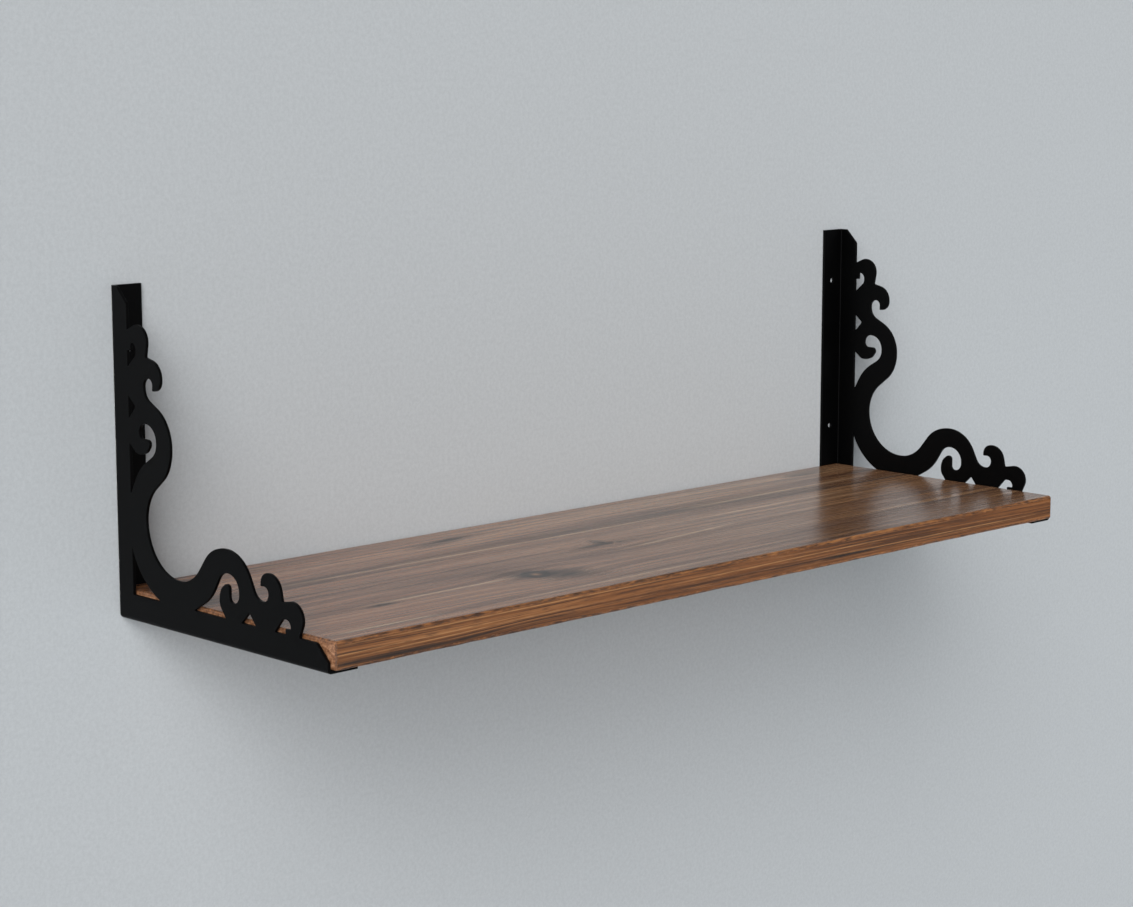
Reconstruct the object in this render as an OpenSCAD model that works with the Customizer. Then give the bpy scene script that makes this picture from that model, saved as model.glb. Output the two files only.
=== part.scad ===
// Wall shelf: one solid board carried by two folded steel brackets, with a scroll cut in each web.
// +X runs along the wall to the right, the wall is the plane y = 0, the front faces -Y and +Z is up.
// The origin is on the wall, in the middle of the four wall screw holes.

/* [Shelf] */
// Overall width, over the outer faces of both brackets
shelf_w = 1000; // [400:10:1600]
// Height of a bracket, and its depth from the wall
bracket_size = 300; // [200:5:450]

/* [Board] */
// Thickness of the board
board_t = 25; // [18:1:40]
// Depth of the board, from the wall flanges to its front face
board_d = 302; // [200:1:460]
// Gap between an end of the board and the bracket beside it
end_gap = 1.5; // [1:0.5:4]
// Radius of the eased edges of the board
board_edge_r = 2; // [1:0.5:5]

/* [Brackets] */
// Thickness of the sheet
sheet_t = 3; // [2:0.5:4]
// Radius inside the folds
fold_r = 1; // [0.5:0.5:3]
// Width of the wall flange and of the bottom flange, from the web's outer face
flange_w = 32; // [26:1:45]

/* [Screws] */
// Diameter of the screw holes in the flanges
hole_d = 6; // [5:0.5:8]
// Distance of the screw holes from the web's outer face
hole_in = 18; // [14:1:22]
// Distance of the first hole of each flange from the folded corner
hole_near = 74; // [40:1:90]
// Distance of the second hole of each flange from the flange's free end
hole_end = 58; // [20:1:80]
// Thread diameter of the board screws
screw_d = 4.8; // [3.5:0.1:5]
// Length of the board screws under the head
screw_len = 20; // [14:1:24]

/* [Hidden] */

eps = 0.01;
chord_error = 0.03;
hole_fn = 48;
fold_fn = 64;
corner_fn = 48;
bowl_fn = 180;
size_k = bracket_size / 300;
outer_r = fold_r + sheet_t;
hole_far = bracket_size - hole_end;
hole_at = [hole_near, hole_far];
wall_hole_z = (hole_near + hole_far) / 2;
board_len = shelf_w - 2 * (sheet_t + end_gap);

screw_root_d = 3.4;
screw_tip = 3.5;
thread_pitch = 2;
head_d = 9.6;
head_h = 2.6;
// Outline of the pan head, as fractions of its diameter and height
head_profile = [[0, 1], [0.28, 1], [0.43, 0.75], [0.5, 0.3], [0.5, 0]];
recess_l = 5;
recess_w = 1.1;
recess_deep = 1.7;

steel_colour = [0.10, 0.10, 0.11];
walnut_colour = [0.42, 0.28, 0.19];
screw_colour = [0.13, 0.13, 0.14];

// The web is drawn flat, in [distance from the wall, height] with the folded corner at [0, 0].
// An outline is a list of corners [distance, height, radius] for a bracket of size 300. Its ornament is
// the same on both arms, so only the upright arm is listed, and the arm under the board mirrors it.
strip = 24.5;

// Upright arm, from the middle of the bowl up to the end of the strip
arm_corners = [
    [47.1, 74.5, 46.5],
    [47.1, 113, 38],
    [78.8, 138.2, 33],
    [85.6, 153.5, 40],
    [85.6, 185.6, 37],
    [47.7, 204.9, 13.2],
    [47.7, 221.8, 7.5],
    [61.4, 221.8, 5.7],
    [60.8, 211.2, 0.8],
    [73.3, 211.2, 9.8],
    [73.3, 235.2, 16.4],
    [51.6, 240, 1.2],
    [53.8, 252, 8],
    [53.8, 267.8, 14.8],
    [36.5, 267.8, 11],
    [strip, 262.4, 1],
    [strip, 285.3, 5],
    [9.8, 300, 0.5]
];

// Opening with the curl in it
curl_corners = [
    [strip, 115.6, 0.5],
    [38.5, 140.4, 46],
    [64.8, 156.7, 14.4],
    [64.8, 181.1, 15.3],
    [39.6, 181.1, 8.5],
    [39.6, 167.3, 5],
    [55.1, 167.3, 4],
    [55.1, 161.6, 4.6],
    [50.3, 155.5, 8.5],
    [43.3, 153.1, 15],
    [35.5, 153.1, 10],
    [strip, 161.9, 0.5]
];

// Small pointed opening above the curl
wedge_corners = [
    [strip, 183.6, 0.4],
    [35.3, 195, 1.8],
    [strip, 204, 0.4]
];

// Comma-shaped opening in the end lobe
comma_corners = [
    [strip, 229.5, 0.4],
    [37.5, 240.9, 5.6],
    [37.5, 251.4, 6],
    [29.6, 251.4, 1.8],
    [29.6, 244.4, 0.6],
    [strip, 244.2, 0.4]
];

// The opening in the folded corner ends on a circle round the same centre as the bowl
bowl_centre = 93.6;
bowl_back_r = 74;
corner_opening = 43;

function unit(v) = v / norm(v);
function flat(c) = [c[0], c[1]];
function swap(c) = [c[1], c[0], c[2]];
function reversed(list) = [for (i = [len(list) - 1:-1:0]) list[i]];
function polar(r, a) = [r * cos(a), r * sin(a)];
function direction(v) = atan2(v[1], v[0]);

// Points of the arc that rounds corner b between its neighbours a and c
function fillet(a, b, c, r) =
    let (
        to_a = unit(a - b),
        to_c = unit(c - b),
        half = acos(to_a * to_c) / 2,
        centre = b + unit(to_a + to_c) * r / sin(half),
        start = direction(b + to_a * r / tan(half) - centre),
        end = direction(b + to_c * r / tan(half) - centre),
        turn = (end - start + 540) % 360 - 180,
        steps = ceil(abs(turn) / (2 * acos(1 - chord_error / r)))
    )
    [for (i = [0:steps]) centre + polar(r, start + turn * i / steps)];

// Points of a closed outline whose corners are rounded
function rounded(corners) =
    let (n = len(corners))
    [for (i = [0:n - 1])
        let (a = corners[(i + n - 1) % n], b = corners[i], c = corners[(i + 1) % n])
        each b[2] == 0 ? [flat(b)] : fillet(flat(a), flat(b), flat(c), b[2])];

function sized(corners) = [for (c = corners) c * size_k];

// Flat part of the web: both arms with the folded edges left straight
web_corners = concat(
    sized(arm_corners),
    [[outer_r, bracket_size, 0], [outer_r, outer_r, 0], [bracket_size, outer_r, 0]],
    reversed([for (c = sized(arm_corners)) swap(c)])
);

module opening(corners) {
    polygon(rounded(sized(corners)));
    polygon(rounded([for (c = sized(corners)) swap(c)]));
}

module corner_opening() {
    scale(size_k)
        difference() {
            translate([strip, strip]) square(corner_opening);
            translate([bowl_centre, bowl_centre]) circle(r = bowl_back_r, $fn = bowl_fn);
        }
}

module web_flat() {
    difference() {
        polygon(rounded(web_corners));
        opening(curl_corners);
        opening(wedge_corners);
        opening(comma_corners);
        corner_opening();
    }
}

// Section of one fold with its flange: the web's outer face is on the Y axis, the flange along X
module fold_section() {
    translate([outer_r, 0]) square([flange_w - outer_r, sheet_t]);
    intersection() {
        square(outer_r);
        translate([outer_r, outer_r])
            difference() {
                circle(r = outer_r, $fn = fold_fn);
                circle(r = fold_r, $fn = fold_fn);
            }
    }
}

// Where both folds meet, the corner is closed and ground round
module round_corner() {
    intersection() {
        translate([0, -outer_r, 0]) cube(outer_r);
        translate([outer_r, -outer_r, outer_r])
            difference() {
                sphere(r = outer_r, $fn = corner_fn);
                sphere(r = fold_r, $fn = corner_fn);
            }
    }
}

module flange_holes() {
    for (d = hole_at) {
        translate([hole_in, -d, -eps]) cylinder(d = hole_d, h = sheet_t + 2 * eps, $fn = hole_fn);
        translate([hole_in, eps, d]) rotate([90, 0, 0])
            cylinder(d = hole_d, h = sheet_t + 2 * eps, $fn = hole_fn);
    }
}

// Bracket for the left end: outer face at x = 0, wall at y = 0, underside at z = 0
module bracket() {
    arm = bracket_size - outer_r;
    difference() {
        union() {
            translate([sheet_t, 0, 0]) rotate([90, 0, -90]) linear_extrude(sheet_t) web_flat();
            translate([0, 0, outer_r]) linear_extrude(arm) mirror([0, 1]) fold_section();
            translate([0, -outer_r, 0]) rotate([90, 0, 0]) linear_extrude(arm) fold_section();
            round_corner();
        }
        flange_holes();
    }
}

// Bar along X, from x = 0, whose edges are all eased
module eased_bar(length, depth, height, r) {
    intersection() {
        rotate([90, 0, 90]) linear_extrude(length) eased_rectangle(depth, height, r);
        translate([0, depth, 0]) rotate([90, 0, 0]) linear_extrude(depth) eased_rectangle(length, height, r);
        linear_extrude(height) eased_rectangle(length, depth, r);
    }
}

module eased_rectangle(w, h, r) {
    polygon(rounded([[0, 0, r], [w, 0, r], [w, h, r], [0, h, r]]));
}

module board() {
    difference() {
        translate([-board_len / 2, -sheet_t - board_d, sheet_t])
            eased_bar(board_len, board_d, board_t, board_edge_r);
        for (side = [-1, 1], d = hole_at)
            translate([side * (shelf_w / 2 - hole_in), -d, 0])
                cylinder(d = screw_d, h = screw_len, $fn = hole_fn);
    }
}

// Half section of a board screw: head below z = 0, threaded shank above it
module screw_section() {
    threads = floor((screw_len - screw_tip - sheet_t) / thread_pitch);
    thread_from = screw_len - screw_tip - threads * thread_pitch;
    polygon([
        for (p = head_profile) [p[0] * head_d, -p[1] * head_h],
        [screw_root_d / 2, 0],
        for (i = [0:threads - 1], p = [0, 0.5])
            [(p == 0 ? screw_root_d : screw_d) / 2, thread_from + (i + p) * thread_pitch],
        [screw_root_d / 2, screw_len - screw_tip],
        [0, screw_len]
    ]);
}

module board_screw() {
    difference() {
        rotate_extrude($fn = hole_fn) screw_section();
        for (a = [0, 90])
            rotate(a) translate([-recess_l / 2, -recess_w / 2, -head_h - eps])
                cube([recess_l, recess_w, recess_deep]);
    }
}

module board_screws() {
    for (d = hole_at)
        translate([hole_in, -d, 0]) board_screw();
}

// Puts what is drawn for the left end at its place
module at_left_end() {
    translate([-shelf_w / 2, 0, -wall_hole_z]) children();
}

module at_right_end() {
    mirror([1, 0, 0]) at_left_end() children();
}

module shelf_board() {
    color(walnut_colour) translate([0, 0, -wall_hole_z]) board();
}

module left_bracket() {
    color(steel_colour) at_left_end() bracket();
}

module right_bracket() {
    color(steel_colour) at_right_end() bracket();
}

module left_board_screws() {
    color(screw_colour) at_left_end() board_screws();
}

module right_board_screws() {
    color(screw_colour) at_right_end() board_screws();
}

shelf_board();
left_bracket();
right_bracket();
left_board_screws();
right_board_screws();
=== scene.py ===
import math

import bmesh
import bpy
import numpy as np
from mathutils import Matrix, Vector


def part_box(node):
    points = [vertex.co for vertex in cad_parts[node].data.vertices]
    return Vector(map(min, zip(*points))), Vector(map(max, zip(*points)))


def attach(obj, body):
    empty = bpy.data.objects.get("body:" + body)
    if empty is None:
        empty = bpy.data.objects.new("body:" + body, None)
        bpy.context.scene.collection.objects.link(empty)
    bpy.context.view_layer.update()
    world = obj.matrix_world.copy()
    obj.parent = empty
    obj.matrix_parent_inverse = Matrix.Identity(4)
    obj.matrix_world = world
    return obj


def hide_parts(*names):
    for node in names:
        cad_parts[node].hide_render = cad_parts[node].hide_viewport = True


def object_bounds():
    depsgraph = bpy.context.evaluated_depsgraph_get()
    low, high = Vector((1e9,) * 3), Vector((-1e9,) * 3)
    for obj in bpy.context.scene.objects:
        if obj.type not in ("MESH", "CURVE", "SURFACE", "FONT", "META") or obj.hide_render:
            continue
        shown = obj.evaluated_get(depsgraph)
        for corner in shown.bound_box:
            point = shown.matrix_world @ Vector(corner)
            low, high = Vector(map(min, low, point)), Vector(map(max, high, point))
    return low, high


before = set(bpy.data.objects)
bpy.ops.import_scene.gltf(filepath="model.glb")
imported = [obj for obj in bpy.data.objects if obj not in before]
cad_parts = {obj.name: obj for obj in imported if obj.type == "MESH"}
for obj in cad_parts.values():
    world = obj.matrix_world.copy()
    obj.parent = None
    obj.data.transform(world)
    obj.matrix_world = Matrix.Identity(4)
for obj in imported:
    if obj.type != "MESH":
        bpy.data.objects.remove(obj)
cad_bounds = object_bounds()


# ---------------------------------------------------------------- node helpers

class Nodes:
    """Short calls for building one node tree."""

    def __init__(self, tree):
        self.tree = tree

    def add(self, kind, inputs=None, **props):
        node = self.tree.nodes.new(kind)
        for name, value in props.items():
            setattr(node, name, value)
        for name, value in (inputs or {}).items():
            self.put(node.inputs[name], value)
        return node

    def put(self, socket, value):
        if isinstance(value, bpy.types.NodeSocket):
            self.tree.links.new(value, socket)
        else:
            socket.default_value = value

    def math(self, operation, a, b=0.0):
        node = self.add("ShaderNodeMath", operation=operation)
        self.put(node.inputs[0], a)
        self.put(node.inputs[1], b)
        return node.outputs[0]

    def mix(self, factor, a, b, blend="MIX"):
        """Colour a becomes b as factor goes from 0 to 1. Its colours are sockets 6 and 7."""
        node = self.add("ShaderNodeMix", data_type="RGBA", blend_type=blend)
        self.put(node.inputs[0], factor)
        self.put(node.inputs[6], a)
        self.put(node.inputs[7], b)
        return node.outputs[2]

    def ramp(self, value, stops):
        node = self.add("ShaderNodeValToRGB")
        elements = node.color_ramp.elements
        while len(elements) < len(stops):
            elements.new(0.5)
        for element, (at, colour) in zip(elements, stops):
            element.position = at
            element.color = (*colour, 1)
        self.put(node.inputs[0], value)
        return node.outputs[0]

    def span(self, value, low, high, to_low=0.0, to_high=1.0, smooth=False):
        """value from low..high becomes to_low..to_high, held at the ends."""
        node = self.add("ShaderNodeMapRange", interpolation_type="SMOOTHSTEP" if smooth else "LINEAR")
        for socket, given in zip(node.inputs, (value, low, high, to_low, to_high)):
            self.put(socket, given)
        return node.outputs[0]

    def place(self, scale=(1, 1, 1), offset=(0, 0, 0), vector=None):
        if vector is None:
            vector = self.add("ShaderNodeTexCoord").outputs["Object"]
        node = self.add("ShaderNodeMapping", {"Vector": vector, "Scale": scale, "Location": offset})
        return node.outputs[0]

    def noise(self, vector, scale, detail=4.0, rough=0.5):
        node = self.add("ShaderNodeTexNoise", {
            "Vector": vector, "Scale": scale, "Detail": detail, "Roughness": rough})
        return node.outputs[0]


# Depth of the grain and of the powder coat's texture
RELIEF = 0.00012


def material(name):
    """A new material with its shader wired up, and the nodes to go on with."""
    made = bpy.data.materials.new(name)
    made.use_nodes = True
    made.node_tree.nodes.clear()
    n = Nodes(made.node_tree)
    shader = n.add("ShaderNodeBsdfPrincipled")
    n.add("ShaderNodeOutputMaterial", {"Surface": shader.outputs[0]})
    return made, n, shader


def one_sided(n, shader):
    """A backdrop that can be looked through from behind, so the object is seen from every side."""
    surface = shader.outputs[0].links[0].to_socket
    back = n.add("ShaderNodeNewGeometry").outputs["Backfacing"]
    seen = n.add("ShaderNodeLightPath").outputs["Is Camera Ray"]
    clear = n.add("ShaderNodeBsdfTransparent")
    both = n.add("ShaderNodeMixShader", {
        0: n.math("MULTIPLY", back, seen), 1: shader.outputs[0], 2: clear.outputs[0]})
    n.put(surface, both.outputs[0])


# ---------------------------------------------------------------- materials

# Knots on the top: middle (x, y), reach along and across the grain, and how far their dark wood turns,
# in degrees
KNOTS = (
    ((-0.184, -0.227), (0.050, 0.022), -36),
    ((-0.042, -0.154), (0.008, 0.014), 0),
    ((-0.044, -0.162), (0.040, 0.0045), 0),
    ((-0.377, -0.223), (0.018, 0.0045), 0),
    ((-0.150, -0.044), (0.038, 0.008), 8),
    ((0.416, -0.026), (0.036, 0.008), 3),
)
# Eye of the largest knot: its middle (x, y), its reach, and the dark rim round it
EYE = (-0.192, -0.2215)
EYE_REACH = 0.0038
EYE_RIM = 0.0105
EYE_RIM_REACH = 0.0065
# Knot under the front face: middle (x, z), reach, and how far it pushes the grain up
FRONT_KNOT = ((-0.262, -0.1535), (0.070, 0.008), 0.0055)
# Pale lines along the top: middle (x, y), half length, slope. All have one half width.
TOP_LINES = (
    ((-0.150, -0.1025), 0.300, 0.000),
    ((0.040, -0.184), 0.100, 0.100),
    ((0.245, -0.132), 0.120, 0.000),
    ((0.300, -0.083), 0.170, 0.010),
    ((-0.300, -0.218), 0.110, 0.000),
    ((-0.160, -0.288), 0.150, 0.004),
    ((-0.420, -0.285), 0.070, 0.000),
)
# Lines along the front: middle (x, z), half length, half width, slope, and whether it is pale or dark
FRONT_LINES = (
    ((-0.430, -0.1420), 0.170, 0.00050, 0.008, True),
    ((-0.340, -0.1446), 0.160, 0.00050, 0.009, True),
    ((-0.300, -0.1345), 0.240, 0.00050, 0.000, True),
    ((0.060, -0.1400), 0.200, 0.00050, 0.004, True),
    ((0.300, -0.1460), 0.180, 0.00050, -0.003, True),
    ((-0.430, -0.1504), 0.100, 0.00190, 0.000, False),
    ((-0.394, -0.1509), 0.078, 0.00140, 0.000, False),
    ((-0.288, -0.1508), 0.075, 0.00150, 0.000, False),
    ((0.160, -0.1475), 0.048, 0.00130, 0.000, False),
)
TOP_LINE_HALF_WIDTH = 0.0021
# Stretch of the front's upper edge that is painted palest, as rubbed wear and as painted highlight: its
# middle along x, its reach along x, and its reach down and back
PALEST_EDGE = (0.200, 0.080)
PALEST_EDGE_DEPTH = 0.004
# Centre of the growth rings: behind the board and far below it
PITH_Y, PITH_Z = 0.150, -0.550
# How far the edges' wear and painted highlight reach in from the front and back, up from the underside,
# down from the top and in from the ends
WEAR_AND_HIGHLIGHT_Y, WEAR_AND_HIGHLIGHT_BELOW, WEAR_AND_HIGHLIGHT_ABOVE, WEAR_AND_HIGHLIGHT_X = 0.0020, 0.0026, 0.0034, 0.0021

# Colours of the walnut, linear
DARK_HAIR = (0.042, 0.022, 0.015, 1)
DARK_FLECK = (0.050, 0.026, 0.018, 1)
DARK_LINE = (0.022, 0.015, 0.012, 1)
DARK_PORE = (0.035, 0.018, 0.012, 1)
DARK_DOT = (0.06, 0.030, 0.020, 1)
KNOT_STAIN = (0.014, 0.011, 0.010, 1)
KNOT_EYE = (0.42, 0.22, 0.12, 1)
# Paler wood of the fine grain and of the long lines, on the sides and on the top
THIN_SIDE, THIN_TOP = (0.420, 0.185, 0.070, 1), (0.470, 0.275, 0.150, 1)
PALE_SIDE, PALE_TOP = (0.520, 0.250, 0.095, 1), (0.560, 0.380, 0.240, 1)
# From the darkest tone of the grain to the palest
SIDE_STOPS = (
    (0.00, (0.038, 0.015, 0.008)),
    (0.25, (0.105, 0.040, 0.015)),
    (0.50, (0.185, 0.069, 0.023)),
    (0.75, (0.280, 0.108, 0.036)),
    (1.00, (0.430, 0.188, 0.070)),
)
TOP_STOPS = (
    (0.00, (0.060, 0.034, 0.024)),
    (0.25, (0.130, 0.062, 0.034)),
    (0.50, (0.225, 0.104, 0.050)),
    (0.75, (0.335, 0.176, 0.090)),
    (1.00, (0.480, 0.285, 0.160)),
)
# Worn edges, from stained dark to rubbed pale; the pale end is also painted highlight along the eased edges
EDGE_STOPS = (
    (0.38, (0.035, 0.016, 0.010)),
    (0.46, (0.120, 0.050, 0.022)),
    (0.54, (0.270, 0.105, 0.034)),
    (0.66, (0.450, 0.186, 0.058)),
)
END_GRAIN_STOPS = (
    (0.36, (0.170, 0.070, 0.033)),
    (0.50, (0.320, 0.143, 0.068)),
    (0.62, (0.520, 0.270, 0.150)),
)
# Tints of the sides and of the top, at the left end and at the right end
SIDE_TINTS = (0.95, 0.94, 0.92, 1), (1.16, 1.13, 1.06, 1)
TOP_TINTS = (1.18, 0.98, 0.87, 1), (0.98, 0.98, 0.97, 1)


def walnut():
    """Oiled walnut: rings, streaks, knots and long lines, worn edges with painted highlight, and end grain.
    """
    made, n, shader = material("oiled_walnut")
    lo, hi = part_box("shelf_board")
    at = n.add("ShaderNodeSeparateXYZ", {0: n.add("ShaderNodeTexCoord").outputs["Object"]})
    x, y, z = at.outputs

    def bell(*offsets):
        """1 at the middle, where every offset is 0, and almost 0 from an offset of 2 on."""
        total = n.math("MULTIPLY", offsets[0], offsets[0])
        for more in offsets[1:]:
            total = n.math("ADD", total, n.math("MULTIPLY", more, more))
        return n.math("EXPONENT", n.math("MULTIPLY", total, -1.0))

    def offset(value, middle, reach):
        """How far value is from the middle, counted in reaches."""
        return n.math("DIVIDE", n.math("SUBTRACT", value, middle), reach)

    # the grain wavers a little and bows out round each knot
    wave = n.math("SUBTRACT", n.noise(n.place((1.6, 5, 5)), 1.0, 2.0), 0.5)
    flow = n.math("ADD", y, n.math("MULTIPLY", wave, 0.012))
    dark = None
    for (kx, ky), (along, across), turn in KNOTS:
        near = bell(offset(x, kx, along * 1.3), offset(y, ky, across * 1.6))
        dx, dy = n.math("SUBTRACT", x, kx), n.math("SUBTRACT", y, ky)
        flow = n.math("SUBTRACT", flow, n.math("MULTIPLY", n.math("MULTIPLY", dy, near), 0.7))
        c, s = math.cos(math.radians(turn)), math.sin(math.radians(turn))
        u = n.math("DIVIDE", n.math("ADD", n.math("MULTIPLY", dx, c), n.math("MULTIPLY", dy, s)), along)
        v = n.math("DIVIDE", n.math("SUBTRACT", n.math("MULTIPLY", dy, c), n.math("MULTIPLY", dx, s)), across)
        dark = bell(u, v) if dark is None else n.math("MAXIMUM", dark, bell(u, v))
    (fx, fz), (along, up), push = FRONT_KNOT
    height = n.math("SUBTRACT", z, n.math("MULTIPLY", bell(offset(x, fx, along), offset(z, fz, up)), push))

    # growth rings round a pith below the board: ring is the distance from it, over is how far to the side
    down = n.math("SUBTRACT", height, PITH_Z)
    over = n.math("SUBTRACT", flow, PITH_Y)
    ring = n.math("SQRT", n.math("ADD", n.math("MULTIPLY", down, down), n.math("MULTIPLY", over, over)))
    across_rings = n.math("SUBTRACT", ring, n.math("MULTIPLY", over, 0.3))
    grain = n.add("ShaderNodeCombineXYZ", {"X": x, "Y": across_rings, "Z": over}).outputs[0]

    def streaks(along, across, seed, detail=3.0, rough=0.55):
        """Noise drawn out along the grain: its scale along and across it."""
        stretched = n.place((along, across, across * 0.12), (seed, seed * 2.3, seed * 1.7), grain)
        return n.noise(stretched, 1.0, detail, rough)

    broad = streaks(1.0, 27, 1.0)
    middle = streaks(1.8, 110, 4.0)
    fine = streaks(3.0, 400, 7.0, 4.0, 0.62)
    hair = streaks(5.0, 900, 6.0, 2.0)
    flecks = streaks(22.0, 520, 3.0, 2.0)
    pores = streaks(60.0, 1900, 9.0, 1.0)
    tone = n.math("ADD", n.math("MULTIPLY", broad, 0.32), n.math("MULTIPLY", middle, 0.33))
    tone = n.math("ADD", tone, n.math("MULTIPLY", fine, 0.35))
    tone = n.span(tone, 0.37, 0.63)
    top = n.span(n.math("SUBTRACT", z, hi.z), -0.003, -0.001)
    front = n.span(n.math("SUBTRACT", y, lo.y), 0.001, 0.003, 1.0, 0.0)
    # the sides are darker at the left, and the top is redder there and greyer at the right
    side_tint = n.mix(n.span(x, -0.45, 0.20), *SIDE_TINTS)
    sides = n.mix(1.0, n.ramp(tone, SIDE_STOPS), side_tint, "MULTIPLY")
    top_tint = n.mix(n.span(x, -0.40, 0.15), *TOP_TINTS)
    face = n.mix(1.0, n.ramp(tone, TOP_STOPS), top_tint, "MULTIPLY")
    colour = n.mix(top, sides, face)
    thin = n.mix(top, THIN_SIDE, THIN_TOP)
    colour = n.mix(n.span(hair, 0.55, 0.66, 0.0, 0.8), colour, DARK_HAIR)
    colour = n.mix(n.span(hair, 0.34, 0.44, 0.65, 0.0), colour, thin)
    colour = n.mix(n.span(flecks, 0.58, 0.74, 0.0, 0.45), colour, DARK_FLECK)
    colour = n.mix(n.span(flecks, 0.26, 0.40, 0.35, 0.0), colour, thin)

    pale = n.mix(top, PALE_SIDE, PALE_TOP)
    wobble = n.math("MULTIPLY", n.math("SUBTRACT", n.noise(n.place((7, 1, 1)), 1.0, 2.0), 0.5), 0.0035)
    broken = n.span(streaks(9.0, 50, 12.0), 0.32, 0.55, 0.45, 1.0)

    def line(from_middle, centre, half_length, half_width, slope, where, waver=1.0):
        """A thin line that wavers, breaks up here and there, and fades towards its ends."""
        run = n.math("SUBTRACT", x, centre)
        ends = n.span(n.math("ABSOLUTE", run), half_length * 0.55, half_length, 1.0, 0.0)
        level = n.math("ADD", from_middle, n.math("MULTIPLY", wobble, waver))
        level = n.math("SUBTRACT", level, n.math("MULTIPLY", run, slope))
        body = bell(n.math("DIVIDE", level, half_width))
        return n.math("MULTIPLY", n.math("MULTIPLY", n.math("MULTIPLY", body, ends), where), broken)

    for (lx, ly), half, slope in TOP_LINES:
        mark = line(n.math("SUBTRACT", y, ly), lx, half, TOP_LINE_HALF_WIDTH, slope, top)
        colour = n.mix(n.math("MULTIPLY", mark, 0.9), colour, pale)
    for (lx, lz), half, width, slope, light in FRONT_LINES:
        mark = line(n.math("SUBTRACT", height, lz), lx, half, width, slope, front, 0.25)
        colour = n.mix(n.math("MULTIPLY", mark, 0.95), colour, pale if light else DARK_LINE)

    # dark wood round the knots, with a pale eye in the largest
    cloud = n.span(streaks(14.0, 260, 15.0), 0.34, 0.60, 0.45, 1.0)
    beside = n.math("POWER", n.math("SUBTRACT", x, EYE[0]), 2.0)
    before = n.math("POWER", n.math("SUBTRACT", y, EYE[1]), 2.0)
    from_eye = n.math("SQRT", n.math("ADD", beside, before))
    rim = n.span(bell(offset(from_eye, EYE_RIM, EYE_RIM_REACH)), 0.1, 0.8)
    stain = n.math("MAXIMUM", n.span(n.math("MULTIPLY", dark, cloud), 0.04, 0.75), rim)
    stain = n.math("MULTIPLY", stain, top)
    colour = n.mix(n.math("MULTIPLY", stain, 0.96), colour, KNOT_STAIN)
    eye = n.math("MULTIPLY", bell(offset(from_eye, 0.0, EYE_REACH)), top)
    colour = n.mix(n.math("MULTIPLY", eye, 0.9), colour, KNOT_EYE)

    colour = n.mix(n.span(pores, 0.56, 0.72, 0.0, 0.55), colour, DARK_PORE)

    # worn edges: patches rubbed pale, which also paint the highlight the eased edges catch, and patches
    # stained dark
    ragged = n.noise(n.place((190, 220, 220)), 1.0, 4.0, 0.6)
    ragged = n.math("MULTIPLY", n.math("SUBTRACT", ragged, 0.5), 0.0048)

    def near_edge(value, limit, width):
        """1 within a ragged band of this width at the limit, and 0 outside it."""
        gap = n.math("ABSOLUTE", n.math("SUBTRACT", n.math("ADD", value, ragged), limit))
        return n.span(gap, width * 0.7, width, 1.0, 0.0)

    # bands along the edges that take the wear and the painted highlight
    on_y = n.math("MAXIMUM", near_edge(y, lo.y, WEAR_AND_HIGHLIGHT_Y), near_edge(y, hi.y, WEAR_AND_HIGHLIGHT_Y))
    on_z = n.math("MAXIMUM", near_edge(z, lo.z, WEAR_AND_HIGHLIGHT_BELOW), near_edge(z, hi.z, WEAR_AND_HIGHLIGHT_ABOVE))
    on_x = n.math("MAXIMUM", near_edge(x, lo.x, WEAR_AND_HIGHLIGHT_X), near_edge(x, hi.x, WEAR_AND_HIGHLIGHT_X))
    at_ends = n.math("MAXIMUM", n.math("MULTIPLY", on_x, on_z), n.math("MULTIPLY", on_x, on_y))
    edge = n.math("MAXIMUM", n.math("MULTIPLY", on_y, on_z), at_ends)
    patch = n.noise(n.place((75, 420, 420), (2, 5, 1)), 1.0, 5.0, 0.66)
    # the palest stretch of the upper front edge is painted highlight as well as wear
    palest = bell(offset(x, *PALEST_EDGE),
                  offset(y, lo.y, PALEST_EDGE_DEPTH), offset(z, hi.z, PALEST_EDGE_DEPTH))
    patch = n.math("ADD", patch, n.math("MULTIPLY", palest, 0.09))
    patch = n.math("ADD", patch, n.span(x, -0.30, 0.15, -0.025, 0.015))
    # paints the wear and the painted highlight onto the edges
    colour = n.mix(n.math("MULTIPLY", edge, 0.85), colour, n.ramp(patch, EDGE_STOPS))

    # end grain: short specks in place of lines
    normal = n.add("ShaderNodeSeparateXYZ", {0: n.add("ShaderNodeNewGeometry").outputs["Normal"]})
    end = n.span(n.math("ABSOLUTE", normal.outputs["X"]), 0.75, 0.9)
    dots = n.add("ShaderNodeTexVoronoi", {"Vector": n.place((60, 620, 620)), "Scale": 1.0}).outputs[0]
    mottle = n.noise(n.place((40, 260, 340), (3, 1, 4)), 1.0, 4.0, 0.65)
    cut = n.mix(n.span(dots, 0.10, 0.30, 0.5, 0.0), n.ramp(mottle, END_GRAIN_STOPS), DARK_DOT)
    # the end grain gives way to the edges' wear and painted highlight
    clear_of_edge_marks = n.math("SUBTRACT", 1.0, n.math("MULTIPLY", edge, 0.6))
    colour = n.mix(n.math("MULTIPLY", end, clear_of_edge_marks), colour, cut)

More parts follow.
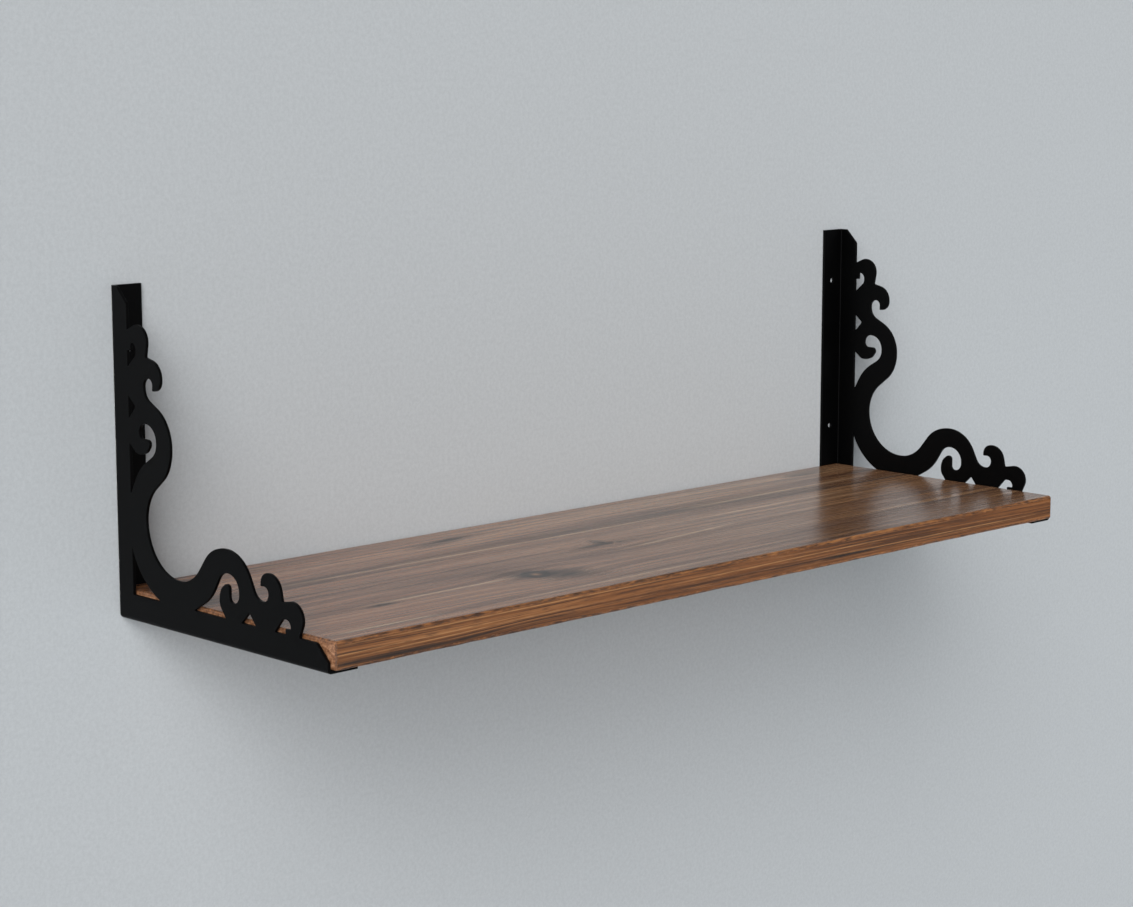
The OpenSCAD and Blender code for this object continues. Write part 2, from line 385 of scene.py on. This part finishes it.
    n.put(shader.inputs["Base Color"], colour)
    smear = n.noise(n.place((5, 9, 9)), 1.0, 3.0)
    rough = n.math("ADD", n.span(tone, 0.2, 0.8, 0.29, 0.18), n.span(smear, 0.3, 0.7, -0.02, 0.03))
    dull = n.math("MAXIMUM", n.math("MAXIMUM", end, edge), n.math("MULTIPLY", stain, 0.5))
    n.put(shader.inputs["Roughness"], n.math("ADD", rough, n.math("MULTIPLY", dull, 0.22)))
    shader.inputs["IOR"].default_value = 1.53
    open_pores = n.math("MULTIPLY", n.span(pores, 0.56, 0.72), 0.5)
    relief = n.math("SUBTRACT", n.math("MULTIPLY", fine, 0.5), open_pores)
    bump = n.add("ShaderNodeBump", {"Strength": 0.30, "Distance": RELIEF, "Height": relief})
    n.put(shader.inputs["Normal"], bump.outputs[0])
    return made


def powder_coat(name, tint, rough, level):
    """A matte coat, a little uneven in colour and gloss, with orange peel and fine grit."""
    made, n, shader = material(name)
    peel = n.noise(n.place(), 620.0, 3.0, 0.6)
    grit = n.noise(n.place(), 2600.0, 2.0, 0.5)
    cloud = n.noise(n.place(), 14.0, 3.0)
    lighter = [min(1.0, c * 1.5) for c in tint[:3]] + [1]
    n.put(shader.inputs["Base Color"], n.mix(n.span(cloud, 0.3, 0.7), tint, lighter))
    gritty = n.span(grit, 0.3, 0.7, rough, rough + 0.08)
    n.put(shader.inputs["Roughness"], n.math("ADD", gritty, n.span(cloud, 0.3, 0.7, 0.0, 0.05)))
    shader.inputs["Specular IOR Level"].default_value = level
    height = n.math("ADD", n.math("MULTIPLY", peel, 0.7), n.math("MULTIPLY", grit, 0.3))
    bump = n.add("ShaderNodeBump", {"Strength": 0.4, "Distance": RELIEF, "Height": height})
    n.put(shader.inputs["Normal"], bump.outputs[0])
    return made


def painted_wall():
    """Matte paint with a roller's fine texture, seen from the room's side only."""
    made, n, shader = material("pale_wall")
    roller = n.noise(n.place(), 260.0, 4.0, 0.75)
    shade = n.mix(n.span(roller, 0.36, 0.64), (0.575, 0.598, 0.615, 1), (0.635, 0.659, 0.677, 1))
    n.put(shader.inputs["Base Color"], shade)
    shader.inputs["Roughness"].default_value = 0.9
    shader.inputs["Specular IOR Level"].default_value = 0.2
    one_sided(n, shader)
    return made


# ---------------------------------------------------------------- the object

def piece(name, mesh, slot, *nodes):
    """A new piece that stands for these CAD nodes."""
    obj = bpy.data.objects.new(name, mesh)
    bpy.context.scene.collection.objects.link(obj)
    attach(obj, "root")
    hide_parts(*nodes)
    return obj


def even_shading(obj):
    """Smooth shading that leaves the large faces flat."""
    obj.data.shade_smooth()
    shading = obj.modifiers.new("even_shading", "WEIGHTED_NORMAL")
    shading.weight = 100


def wander(rng, count, every, size):
    """A smooth random line of count values between -size and size, with a turn every so many values."""
    turns = rng.uniform(-size, size, count // every + 3)
    at = np.arange(count) / every
    i = at.astype(int)
    t = at - i
    t = t * t * (3 - 2 * t)
    return turns[i] * (1 - t) + turns[i + 1] * t


# Easing of the board's ends, and the points on each rounded corner
EASE = 0.0021
RIM_STEPS = 6
# Sections along the board between its eased ends
SECTIONS = 480
# Radius of each long edge and how far it wanders: upper front, lower front, lower back, upper back
EDGE_RADII = ((0.0023, 0.0009), (0.0020, 0.0007), (0.0015, 0.0003), (0.0015, 0.0003))
LEAST_RADIUS, MOST_RADIUS = 0.0006, 0.0045
LEAST_END_RADIUS = 0.0004


def board_piece(made):
    """The board with its edges eased by hand, so that they wander a little along their length."""
    rng = np.random.default_rng(11)
    lo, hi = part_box("shelf_board")
    inner = np.linspace(lo.x + EASE, hi.x - EASE, SECTIONS)
    turn = np.linspace(0, math.pi / 2, RIM_STEPS)[:-1]
    ends = EASE * (1 - np.sin(turn))
    xs = np.concatenate([lo.x + EASE - EASE * np.cos(turn), inner, (hi.x - EASE + EASE * np.cos(turn))[::-1]])
    inset = np.concatenate([ends, np.zeros(len(inner)), ends[::-1]])
    count = len(xs)
    radii = []
    for base, size in EDGE_RADII:
        radius = base + wander(rng, count, 11, size) + wander(rng, count, 3, size * 0.5)
        radii.append(np.clip(radius, LEAST_RADIUS, MOST_RADIUS))
    # each long edge: its y and z, and which way is outward along both
    corners = ((lo.y, hi.z, -1, 1), (lo.y, lo.z, -1, -1), (hi.y, lo.z, 1, -1), (hi.y, hi.z, 1, 1))
    arc = np.linspace(0, math.pi / 2, RIM_STEPS)
    loops = []
    for i in range(count):
        loop = []
        for k, (cy, cz, sy, sz) in enumerate(corners):
            r = max(radii[k][i] - inset[i] * 0.5, LEAST_END_RADIUS)
            steps = arc if k % 2 == 0 else arc[::-1]
            for a in steps:
                loop.append((xs[i], cy - sy * (inset[i] + r * (1 - math.sin(a))),
                             cz - sz * (inset[i] + r * (1 - math.cos(a)))))
        loops.append(loop)
    around = len(loops[0])
    points = [p for loop in loops for p in loop]
    faces = []
    for i in range(count - 1):
        here, beyond = i * around, (i + 1) * around
        for j in range(around):
            after = (j + 1) % around
            faces.append([here + j, here + after, beyond + after, beyond + j])
    faces.append(list(range(around)))
    faces.append([(count - 1) * around + j for j in range(around)])
    mesh = bpy.data.meshes.new("board")
    mesh.from_pydata(points, [], faces)
    tidy = bmesh.new()
    tidy.from_mesh(mesh)
    bmesh.ops.recalc_face_normals(tidy, faces=tidy.faces)
    tidy.to_mesh(mesh)
    tidy.free()
    mesh.materials.append(made)
    obj = piece("walnut_board", mesh, "walnut", "shelf_board")
    even_shading(obj)
    return obj


# Rounding of the brackets' cut edges, and how sharp an edge has to be to get it
RIM = 0.00035
RIM_ANGLE = math.radians(40)
# Faces that meet flatter than this become one
FLAT_ANGLE = math.radians(0.4)


def bracket_piece(name, node, made):
    """The folded sheet with the slightly rounded edges that powder coat gives."""
    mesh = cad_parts[node].data.copy()
    mesh.name = name
    mesh.materials.clear()
    mesh.materials.append(made)
    work = bmesh.new()
    work.from_mesh(mesh)
    bmesh.ops.remove_doubles(work, verts=work.verts, dist=1e-6)
    bmesh.ops.dissolve_limit(work, angle_limit=FLAT_ANGLE, verts=work.verts, edges=work.edges)
    rims = [e for e in work.edges if len(e.link_faces) == 2 and e.calc_face_angle(0) > RIM_ANGLE]
    bmesh.ops.bevel(work, geom=rims, offset=RIM, offset_type="OFFSET", segments=2, profile=0.5,
                    affect="EDGES", clamp_overlap=False, loop_slide=False)
    work.to_mesh(mesh)
    work.free()
    obj = piece(name, mesh, "bracket_steel", node)
    even_shading(obj)
    return obj


wood = walnut()
steel = powder_coat("black_powder_coat", tint=(0.0005, 0.0005, 0.0006, 1), rough=0.42, level=0.085)
oxide = powder_coat("black_oxide", tint=(0.012, 0.012, 0.013, 1), rough=0.30, level=0.5)
pieces = [board_piece(wood),
          bracket_piece("left_bracket_sheet", "left_bracket", steel),
          bracket_piece("right_bracket_sheet", "right_bracket", steel)]
screws = [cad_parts[node] for node in ("left_board_screws", "right_board_screws")]
for obj in screws:
    for material_slot in obj.material_slots:
        material_slot.material = oxide


# ---------------------------------------------------------------- the room, the light and the camera

def backdrop(name, corners, made):
    """A flat sheet behind or below the shelf, which isn't part of it."""
    mesh = bpy.data.meshes.new(name)
    mesh.from_pydata(corners, [], [range(len(corners))])
    mesh.materials.append(made)
    obj = bpy.data.objects.new(name, mesh)
    bpy.context.scene.collection.objects.link(obj)


# The wall just clears the flanges, the floor is far below, and both reach this far
WALL_Y = cad_bounds[1].y + 0.0004
FLOOR_Z = -1.4
REACH = 6.0
pale = painted_wall()
backdrop("wall", [(-REACH, WALL_Y, FLOOR_Z), (REACH, WALL_Y, FLOOR_Z),
                  (REACH, WALL_Y, REACH), (-REACH, WALL_Y, REACH)], pale)
backdrop("floor", [(-REACH, -REACH, FLOOR_Z), (REACH, -REACH, FLOOR_Z),
                   (REACH, WALL_Y, FLOOR_Z), (-REACH, WALL_Y, FLOOR_Z)], pale)

# A dim room with one large reflector, in this direction, which shows only in the gloss
REFLECTOR = (0.42, -0.905, 0.06)
ROOM_COLOUR = (0.06, 0.0624, 0.065, 1)
REFLECTOR_COLOUR = (0.60, 0.62, 0.64, 1)
BACKGROUND_COLOUR = (0.50, 0.52, 0.54, 1)
world = bpy.data.worlds.new("soft_studio")
bpy.context.scene.world = world
world.use_nodes = True
sky = Nodes(world.node_tree)
background = world.node_tree.nodes["Background"]
path = sky.add("ShaderNodeLightPath")
direction = sky.add("ShaderNodeTexCoord").outputs["Generated"]
toward = sky.add("ShaderNodeVectorMath", {0: direction, 1: REFLECTOR}, operation="DOT_PRODUCT")
reflector = sky.span(toward.outputs["Value"], 0.86, 0.97, 0.0, 1.0, True)
reflector = sky.math("MULTIPLY", reflector, path.outputs["Is Glossy Ray"])
room = sky.mix(reflector, ROOM_COLOUR, REFLECTOR_COLOUR)
sky.put(background.inputs["Color"], sky.mix(path.outputs["Is Camera Ray"], room, BACKGROUND_COLOUR))


def soft_sun(name, left, height, spread, strength, colour=(0.985, 0.995, 1.0)):
    """A wide, distant light: how far left of the shelf's front and how high it stands, in degrees."""
    data = bpy.data.lights.new(name, "SUN")
    data.angle = math.radians(spread)
    data.energy = strength
    data.color = colour
    obj = bpy.data.objects.new(name, data)
    left, height = math.radians(left), math.radians(height)
    level = math.cos(height)
    source = Vector((-math.sin(left) * level, -math.cos(left) * level, math.sin(height)))
    obj.rotation_euler = (-source).to_track_quat("-Z", "Y").to_euler()
    bpy.context.scene.collection.objects.link(obj)
    return obj


soft_sun("key", left=50, height=22, spread=40, strength=1.84)
soft_sun("high", left=50, height=42, spread=40, strength=0.83)
soft_sun("low", left=25, height=2, spread=40, strength=0.62)
soft_sun("bounce", left=50, height=-22, spread=40, strength=0.12, colour=(1.0, 0.90, 0.82))

# what faces the wall gets a light of its own, which the wall doesn't stop
behind = soft_sun("behind", left=195, height=-8, spread=16, strength=0.9)
shelf = bpy.data.collections.new("shelf")
for obj in pieces + screws:
    shelf.objects.link(obj)
behind.light_linking.receiver_collection = shelf
behind.light_linking.blocker_collection = shelf


def look(at, yaw, pitch, lens):
    """A camera that looks yaw degrees from +Y towards +X and pitch degrees up."""
    data = bpy.data.cameras.new("camera")
    data.sensor_width = 36
    data.lens = lens
    data.clip_start = 0.05
    data.clip_end = 60
    obj = bpy.data.objects.new("camera", data)
    obj.location = at
    yaw, pitch = math.radians(yaw), math.radians(pitch)
    ahead = Vector((math.sin(yaw) * math.cos(pitch), math.cos(yaw) * math.cos(pitch), math.sin(pitch)))
    obj.rotation_euler = ahead.to_track_quat("-Z", "Y").to_euler()
    bpy.context.scene.collection.objects.link(obj)
    bpy.context.scene.camera = obj


look(at=(-1.7865, -1.9139, 0.3540), yaw=43.992, pitch=-9.074, lens=81.87)
bpy.context.scene.view_settings.view_transform = "Standard"
